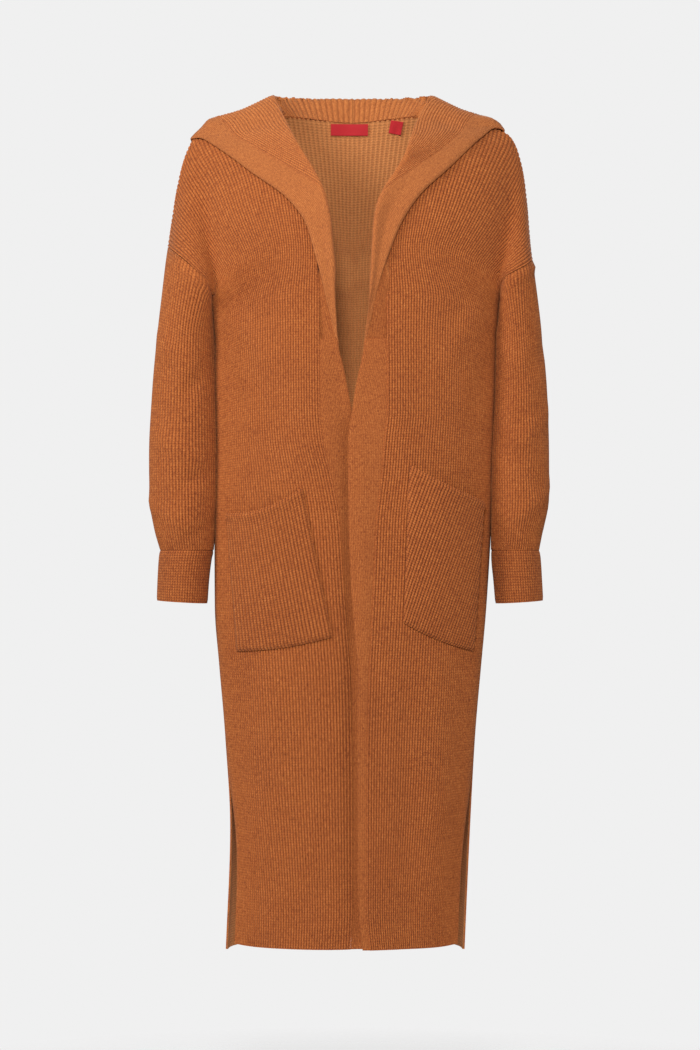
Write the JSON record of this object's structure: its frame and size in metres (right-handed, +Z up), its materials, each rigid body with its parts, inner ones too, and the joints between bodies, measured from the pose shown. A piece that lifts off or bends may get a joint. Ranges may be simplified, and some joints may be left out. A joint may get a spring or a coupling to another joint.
{
  "type": "hooded cardigan",
  "caption": "Long open-front cardigan in ribbed knit, hood worn down, patch pockets and cuffed sleeves, in its hollow worn form.",
  "frame": {"origin": "middle of the shoulders at the height of the back-neck seam, where a figure carries the garment", "axes": "+Z up along the length, +X towards the wearer's left arm, -Y the way the front faces"},
  "size_m": [0.5419, 0.284, 1.1678],
  "materials": {
    "ribbed_knit": "soft marled rib knit in burnt orange",
    "plain_knit": "fine plain knit, a little lighter and yellower",
    "woven_label": "red woven tape, plain"
  },
  "bodies": {
    "root": {"back": "ribbed_knit", "right_front": "ribbed_knit", "left_front": "ribbed_knit", "hood": "ribbed_knit", "right_sleeve": "ribbed_knit", "left_sleeve": "ribbed_knit", "right_cuff": "ribbed_knit", "left_cuff": "ribbed_knit", "right_pocket": "ribbed_knit", "left_pocket": "ribbed_knit", "right_front_band": "plain_knit", "left_front_band": "plain_knit", "hood_band": "plain_knit", "neck_label": "woven_label", "size_label": "woven_label"}
  },
  "joints": []
}
